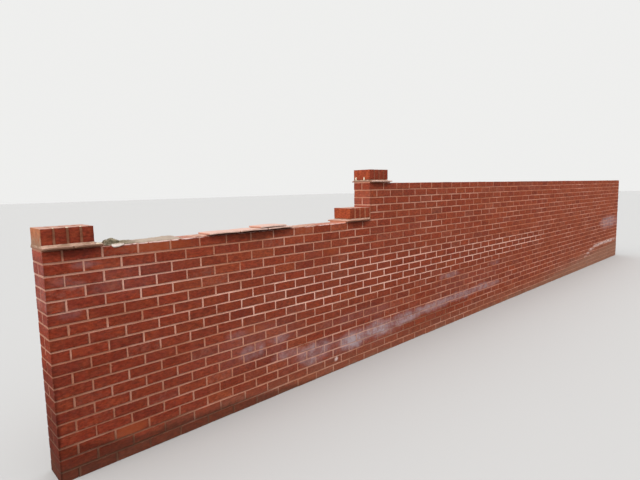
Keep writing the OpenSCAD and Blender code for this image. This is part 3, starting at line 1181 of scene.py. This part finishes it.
class GARDENWALL_OT_fill_collar(Operator):
    """Fill the joint between the two leaves, which shows on top and at the stopped ends"""

    bl_idname = "garden_wall.fill_collar"
    bl_label = "Fill collar joint"

    def execute(self, context):
        sizes = context.scene.wall_brickwork
        wall = wall_places(sizes)
        recess, lap, below_top = sizes.end_recess, 0.0012, 0.001
        cut_length, cut_height = 0.06, 0.15
        finish = bpy.data.materials["joint_mortar"]
        low_y, high_y = (corner.y for corner in corners_of("low_collar_joint"))
        parts = {
            "low": ((wall.near + recess, 0, wall.step, wall.low_top - below_top),),
            "high": (
                (wall.step, 0, wall.far - recess, wall.low_top),
                (wall.step + recess, wall.low_top, wall.far - recess, wall.high_top - below_top)),
        }
        for section, boxes in parts.items():
            name = f"{section}_collar_mortar"
            blocks = []
            for x0, z0, x1, z1 in boxes:
                block = add_block(name, (x0, low_y - lap, z0), (x1, high_y + lap, z1))
                divide_along(block, X, round((x1 - x0) / cut_length))
                divide_along(block, Z, round((z1 - z0) / cut_height))
                blocks.append(block)
            collar = join(name, blocks)
            roughen(collar, "collar")
            finish_piece(collar, "collar", finish, "mortar", f"{section}_collar_joint")
        return {"FINISHED"}


class GARDENWALL_OT_lay_tiles(Operator):
    """Lay the creasing tiles under the coping blocks and along the low section"""

    bl_idname = "garden_wall.lay_tiles"
    bl_label = "Lay creasing tiles"

    def execute(self, context):
        sizes, colours = context.scene.wall_brickwork, context.scene.wall_finish
        # The pale colour on the sides of the pale tiles is dust, and also a painted highlight.
        dust_and_highlight, powder, dried = (0.950, 0.660, 0.560), (0.555, 0.388, 0.325), colours.dried_mortar
        sandy_end, brown_end = (0.500, 0.205, 0.130), (0.200, 0.062, 0.026)
        grimy_clay, ruddy_clay = (0.280, 0.135, 0.085), (0.420, 0.155, 0.090)
        pale = tile_finish("dusty_tile", colours.tile, powder, dust_and_highlight, side_share=0.95, end_colour=sandy_end)
        stained = tile_finish(
            "stained_tile", colours.tile, powder, dust_and_highlight, side_share=0.95, end_colour=brown_end)
        grimy = tile_finish("grimy_tile", grimy_clay, powder, dried, side_share=0.25)
        ruddy = tile_finish("ruddy_tile", ruddy_clay, powder, dried, side_share=0.25)
        rows = {
            "near_tiles": (2, grimy), "foot_tiles": (2, ruddy), "head_tiles": (2, stained),
            "run_tiles": (3, pale), "upper_tile": (1, pale)}
        for node, (count, finish) in rows.items():
            low, high = corners_of(node)
            length = (high.x - low.x + sizes.tile_gap) / count - sizes.tile_gap
            tiles = []
            for number in range(count):
                x = low.x + number * (length + sizes.tile_gap)
                start, end = (x, low.y, low.z), (x + length, high.y, high.z)
                tiles.append(self.tile(node, start, end, sizes.tile_camber))
            tiles = join(node + "_clay", tiles)
            roughen(tiles, "tile")
            finish_piece(tiles, "tile", finish, "creasing_tile", node)
        return {"FINISHED"}

    def tile(self, name, low, high, camber):
        """Models one tile, which rises a little to its middle."""
        arris = 0.0030
        tile = add_block(name, low, high)
        divide_along(tile, X, 7)
        divide_along(tile, Y, 9)
        wear_edges(tile, arris, 2)
        points = read_points(tile)
        along = np.clip((points[:, X] - low[X]) / (high[X] - low[X]), 0, 1)
        points[:, Z] += camber * np.sin(np.pi * along)
        write_points(tile, points)
        return tile


class GARDENWALL_OT_bed_tiles(Operator):
    """Bed the tiles and the coping bricks in mortar"""

    bl_idname = "garden_wall.bed_tiles"
    bl_label = "Bed tiles and coping"

    def execute(self, context):
        colours = context.scene.wall_finish
        fresh = mortar_finish("coping_mortar", (colours.fresh_mortar, colours.dried_mortar))
        joints = bpy.data.materials["joint_mortar"]
        # Each bed's finish and slot, how far it is set back, how far it spreads at its foot, and its fillet.
        thin, thick = (joints, "mortar", 0.004, 0.0, 0.0), (fresh, "fresh_mortar", 0.0, 0.008, 0.0)
        beds = {
            "near_tile_bed": thin, "foot_tile_bed": thin, "head_tile_bed": thin,
            "upper_tile_bed": (fresh, "fresh_mortar", 0.010, 0.0, 0.0),
            "near_coping_bed": (fresh, "fresh_mortar", 0.0, 0.021, 0.006),
            "foot_coping_bed": thick, "head_coping_bed": thick,
        }
        for node, (finish, slot, recess, spread, fillet) in beds.items():
            bed = self.bed(node, recess, spread, fillet)
            finish_piece(bed, "bed", finish, slot, node)
        return {"FINISHED"}

    def bed(self, node, recess, spread, fillet):
        """Models one bed: rough, wider at its foot, and raised against the bricks where it has a fillet."""
        cut_length, cut_width, ruffle = 0.018, 0.024, 0.001
        low, high = corners_of(node)
        inset = Vector((0, recess, 0))
        bed = add_block(node + "_mortar", low + inset, high - inset)
        divide_along(bed, X, round((high.x - low.x) / cut_length))
        divide_along(bed, Y, round((high.y - low.y) / cut_width))
        divide_along(bed, Z, 2)
        points = read_points(bed)
        foot = np.clip((high.z - points[:, Z]) / (high.z - low.z), 0, 1)
        out = np.sign(points[:, Y]) * (np.abs(points[:, Y]) > (high.y - low.y) / 2 - recess - CLEAR)
        points[:, Y] += out * (spread * foot ** 1.5 + fillet * 0.4 * (1 - foot))
        points[:, Z] += np.abs(out) * fillet * (1 - foot)
        write_points(bed, points)
        roughen(bed, "bed")
        points = read_points(bed)
        points[:, Z] = np.clip(points[:, Z], low.z - ruffle, high.z + ruffle + fillet)
        write_points(bed, points)
        return bed


class GARDENWALL_OT_set_coping(Operator):
    """Set the bricks on edge of the three coping blocks, with their joints"""

    bl_idname = "garden_wall.set_coping"
    bl_label = "Set coping"

    def execute(self, context):
        sizes, colours = context.scene.wall_brickwork, context.scene.wall_finish
        arris, brown_red = 0.0025, (0.285, 0.053, 0.025)
        near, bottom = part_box("near_coping_bricks")[0][X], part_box("near_coping_bricks")[0][Z]
        red = coping_brick_finish("coping_brick", colours, colours.coping_red, near, bottom)
        brown = coping_brick_finish("brown_coping_brick", colours, brown_red, near, bottom)
        step = sizes.brick_height + sizes.joint
        for number, (place, clay) in enumerate({"near": red, "foot": brown, "head": brown}.items()):
            node = place + "_coping_bricks"
            low, high = corners_of(node)
            top = (low.x + sizes.brick_height, high.y, high.z)
            brick = mould_brick(node, low, top, arris, cuts=(2, 7, 3), segments=2)
            corners = len(brick.data.vertices)
            repeat(brick, round((high.x - low.x + sizes.joint) / step), (step, 0, 0))
            bricks = join(node + "_clay", [brick])
            roughen(bricks, "coping_brick")
            settle_bricks(bricks, corners, sizes, 64 + number)
            finish_piece(bricks, "coping_brick", clay, "coping_brick", node)
            self.joints(place, low.x + sizes.brick_height, step, sizes)
        self.dabs(sizes, step)
        return {"FINISHED"}

    def joints(self, place, first, step, sizes):
        """Fills each gap beside the bricks, a little behind their faces."""
        node = place + "_coping_joints"
        low, high = corners_of(node)
        lap, behind, below = Vector((0.0020, 0, 0)), Vector((0, 0.0004, 0)), Vector((0, 0, 0.001))
        bars = []
        for number in range(round((high.x - first) / step) + 1):
            start = Vector((first + number * step, low.y, low.z))
            end = Vector((start.x + sizes.joint, high.y, high.z))
            if end.x < high.x + sizes.joint / 2:
                bar = add_block(node, start - lap + behind, end + lap - behind - below)
                divide_along(bar, Y, 14)
                divide_along(bar, Z, 8)
                divide_along(bar, X, 1)
                bars.append(bar)
        mortar = join(node + "_mortar", bars)
        roughen(mortar, "coping_joint")
        name = place + "_coping_joint"
        finish_piece(mortar, "coping_joint", mortar_finish(name, MORTARS[name]), "fresh_mortar", node)

    def dabs(self, sizes, step):
        """Leaves dabs on the end of the head block and beside the near one, and crumbs on the near joints."""
        head_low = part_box("head_coping_bricks")[0]
        near_low, near_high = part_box("near_coping_bricks")
        dabs = []
        for across in (0.078, 0.186):
            middle = (head_low[X], head_low[Y] + across, head_low[Z] + 0.009)
            dabs.append(add_dab("dab", middle, (0.010, 0.017, 0.042)))
        for number, (width, back) in enumerate(((0.013, 0.006), (0.018, 0.005), (0.012, 0.007))):
            x = near_low[X] + sizes.brick_height + sizes.joint / 2 + number * step
            middle = (x, near_low[Y] + back, near_high[Z] - 0.001)
            dabs.append(add_dab("crumb", middle, (width, 0.012, 0.007)))
        middle = (near_high[X] + 0.024, near_low[Y] - 0.010, near_low[Z] - 0.008)
        dabs.append(add_dab("dab", middle, (0.040, 0.024, 0.009)))
        dabs = join("coping_dabs", dabs)
        roughen(dabs, "dab")
        finish_piece(dabs, "dab", mortar_finish("dried_splash", MORTARS["dried_splash"]), "fresh_mortar")


class GARDENWALL_OT_drop_mortar(Operator):
    """Leave the spread mortar, its heap and the tongue that droops over the face"""

    bl_idname = "garden_wall.drop_mortar"
    bl_label = "Leave loose mortar"

    def execute(self, context):
        # Unless it has a seed, and one other than 0, the noise differs from run to run.
        seed_set(context.scene.wall_brickwork.seed + 1)
        # The sides of the bedding mortar are painted dark red as the shadow under the run tiles.
        side_shadow, dried = (0.230, 0.075, 0.042), (0.405, 0.312, 0.248)
        bedding = mortar_finish("bedding_mortar", MORTARS["bedding_mortar"], side_colour=side_shadow)
        pale = mortar_finish("drooping_mortar", MORTARS["drooping_mortar"])
        spread = mortar_finish("spread_mortar", MORTARS["spread_mortar"], dried)
        damp = mortar_finish("heaped_mortar", MORTARS["heaped_mortar"])
        mounds = ((-5.565, -0.01, 0.045, 0.05, 0.009), (-5.255, 0.03, 0.085, 0.045, 0.008))
        self.spread("spread_mortar", spread, rag=0.022, lump=0.003, mounds=mounds)
        self.spread("run_bed", bedding, rag=0.016, lump=0.0, mounds=())
        self.heap("mortar_heap", damp)
        self.tongue("drooping_mortar", pale)
        return {"FINISHED"}

    def spread(self, node, finish, rag, lump, mounds):
        """A trowelled layer, ragged round its edge and lumpy on top."""
        cut_length = 0.010
        low, high = corners_of(node)
        layer = add_block(node + "_layer", low, high)
        divide_along(layer, X, round((high.x - low.x) / cut_length))
        divide_along(layer, Y, round((high.y - low.y) / cut_length))
        spread_out(layer, rag, lump, mounds)
        roughen(layer, "layer")
        points = read_points(layer)
        points[:, Z] = np.maximum(points[:, Z], low.z)
        write_points(layer, points)
        finish_piece(layer, "layer", finish, "fresh_mortar", node)

    def heap(self, node, finish):
        """A mound with a rough surface, cut flat where it lies on the layer."""
        sunk = 0.004
        low, high = corners_of(node)
        middle = ((low.x + high.x) / 2, (low.y + high.y) / 2, low.z)
        select_only()
        bpy.ops.mesh.primitive_ico_sphere_add(subdivisions=5, radius=1, location=middle)
        mound = bpy.context.object
        mound.scale = ((high.x - low.x) / 2, (high.y - low.y) / 2, high.z - low.z)
        bpy.ops.object.transform_apply(location=True, rotation=True, scale=True)
        bpy.ops.object.mode_set(mode="EDIT")
        bpy.ops.mesh.select_all(action="SELECT")
        bpy.ops.mesh.bisect(
            plane_co=(0, 0, low.z - sunk), plane_no=(0, 0, 1), clear_inner=True, use_fill=True)
        bpy.ops.object.mode_set(mode="OBJECT")
        mound.name = mound.data.name = node + "_mound"
        roughen(mound, "heap")
        roughen(mound, "crumbly")
        finish_piece(mound, "heap", finish, "fresh_mortar", node)

    def tongue(self, node, finish):
        """A tongue over the front edge, thick at its top and rounded below."""
        overlap, drawn_in = 0.004, 0.014
        low, high = corners_of(node)
        tongue = add_block(node, low, (high.x, high.y + overlap, high.z))
        divide_along(tongue, X, 22)
        divide_along(tongue, Z, 8)
        divide_along(tongue, Y, 2)
        points = read_points(tongue)
        along = (points[:, X] - low.x) / (high.x - low.x)
        points[:, X] -= drawn_in * along
        up = (points[:, Z] - low.z) / (high.z - low.z)
        belly = np.sin(np.pi * np.clip(along, 0, 1) ** 0.62) ** 0.8
        bottom = high.z - (high.z - low.z) * (0.30 + 0.45 * belly)
        points[:, Z] = bottom + up * (high.z - bottom)
        depth = high.y - low.y
        lean = np.interp(up, (0, 0.15, 0.35, 1), (0.55, 0.95, 1.0, 0.15))
        bulge = depth * np.clip(0.20 + 0.80 * belly, 0, 1) * lean
        pulled = high.y - bulge * (high.y - points[:, Y]) / depth
        points[:, Y] = np.where(points[:, Y] < high.y, pulled, points[:, Y])
        write_points(tongue, points)
        roughen(tongue, "tongue")
        tongue.name = node + "_tongue"
        finish_piece(tongue, "tongue", finish, "fresh_mortar", node)


class GARDENWALL_OT_set_stage(Operator):
    """Set the floor, the lights, the background and the camera"""

    bl_idname = "garden_wall.set_stage"
    bl_label = "Set stage"

    def execute(self, context):
        stage = context.scene.wall_stage
        self.floor(stage)
        self.sun(context.scene, stage)
        self.sky(context.scene, stage)
        self.camera(context.scene, stage)
        context.scene.view_settings.view_transform = "Standard"
        return {"FINISHED"}

    def floor(self, stage):
        """A wide floor, which shows one colour and throws back the light of another."""
        select_only()
        bpy.ops.mesh.primitive_plane_add(size=160, location=(20, 20, 0))
        floor = bpy.context.object
        floor.name = "stage_floor"
        bpy.ops.object.transform_apply(location=True, rotation=True, scale=True)
        finish, tree, shader, _ = new_finish("stage_floor")
        colour = mix_colour(tree, self.seen(tree), stage.floor_glow, stage.floor_colour)
        set_input(tree, shader, "Base Color", colour)
        set_input(tree, shader, "Roughness", 0.9)
        floor.data.materials.append(finish)

    def seen(self, tree):
        """1 for what the camera sees, also in and through a piece, and 0 for what lights the wall."""
        path = add_node(tree, "ShaderNodeLightPath").outputs
        seen = plus(tree, path["Is Glossy Ray"], path["Is Transmission Ray"])
        return plus(tree, seen, path["Is Camera Ray"], clamp=True)

    def sun(self, scene, stage):
        """Weak light through cloud, from the left."""
        sun = bpy.data.lights.new("soft_sun", "SUN")
        sun.energy = stage.sun_strength
        sun.angle = math.radians(50)
        sun.color = (1.0, 0.97, 0.93)
        lamp = bpy.data.objects.new("soft_sun", sun)
        lamp.rotation_euler = Vector((0.75, 0.20, -0.60)).to_track_quat("-Z", "Y").to_euler()
        scene.collection.objects.link(lamp)

    def sky(self, scene, stage):
        """Light that is strongest from straight above, behind a plain pale backdrop."""
        world = scene.world or bpy.data.worlds.new("soft_sky")
        scene.world = world
        world.use_nodes = True
        tree = world.node_tree
        tree.nodes.clear()
        way = add_node(tree, "ShaderNodeTexCoord").outputs["Generated"]
        up = larger(tree, split(tree, way)["Z"], 0.0)
        glow = scale_add(tree, up, stage.sky_strength, stage.horizon_strength)
        cloud, pale_grey = (0.93, 0.96, 1.0, 1.0), (0.86, 0.86, 0.85, 1.0)
        sky = add_node(tree, "ShaderNodeBackground", {"Color": cloud, "Strength": glow})
        backdrop = add_node(tree, "ShaderNodeBackground", {"Color": pale_grey, "Strength": 1.0})
        both = add_node(
            tree, "ShaderNodeMixShader", {0: self.seen(tree), 1: sky.outputs[0], 2: backdrop.outputs[0]})
        add_node(tree, "ShaderNodeOutputWorld", {"Surface": both.outputs[0]})

    def camera(self, scene, stage):
        """The camera, where it stood for the photograph."""
        eye = bpy.data.cameras.new("main_camera")
        eye.sensor_width = 36
        eye.lens = stage.lens
        eye.clip_end = 300
        camera = bpy.data.objects.new("main_camera", eye)
        camera.location = stage.camera_place
        camera.rotation_euler = stage.camera_turn
        scene.collection.objects.link(camera)
        scene.camera = camera


OPERATORS = (
    GARDENWALL_OT_lay_stretchers, GARDENWALL_OT_lay_ties, GARDENWALL_OT_point_joints,
    GARDENWALL_OT_fill_collar, GARDENWALL_OT_lay_tiles, GARDENWALL_OT_bed_tiles,
    GARDENWALL_OT_set_coping, GARDENWALL_OT_drop_mortar, GARDENWALL_OT_set_stage,
)


class GARDENWALL_PT_tools(Panel):
    """Lists the steps that build the wall, with their sizes and colours"""

    bl_label = "Garden Wall"
    bl_idname = "GARDENWALL_PT_tools"
    bl_space_type = "VIEW_3D"
    bl_region_type = "UI"
    bl_category = "Garden Wall"

    def draw(self, context):
        layout = self.layout
        for settings in (context.scene.wall_brickwork, context.scene.wall_finish, context.scene.wall_stage):
            column = layout.column(align=True)
            for name in settings.__annotations__:
                column.prop(settings, name)
        for step in OPERATORS:
            layout.operator(step.bl_idname)


GROUPS = {"wall_brickwork": WallBrickwork, "wall_finish": WallFinish, "wall_stage": WallStage}


def register():
    for item in (*GROUPS.values(), *OPERATORS, GARDENWALL_PT_tools):
        bpy.utils.register_class(item)
    for name, group in GROUPS.items():
        setattr(bpy.types.Scene, name, PointerProperty(type=group))


def unregister():
    for name in GROUPS:
        delattr(bpy.types.Scene, name)
    for item in reversed((*GROUPS.values(), *OPERATORS, GARDENWALL_PT_tools)):
        bpy.utils.unregister_class(item)


def main():
    """Builds the wall on its stage."""
    register()
    shared_groups()
    steps = bpy.ops.garden_wall
    steps.lay_stretchers()
    steps.lay_ties()
    steps.point_joints()
    steps.fill_collar()
    steps.lay_tiles()
    steps.bed_tiles()
    steps.set_coping()
    steps.drop_mortar()
    steps.set_stage()


if __name__ == "__main__":
    main()
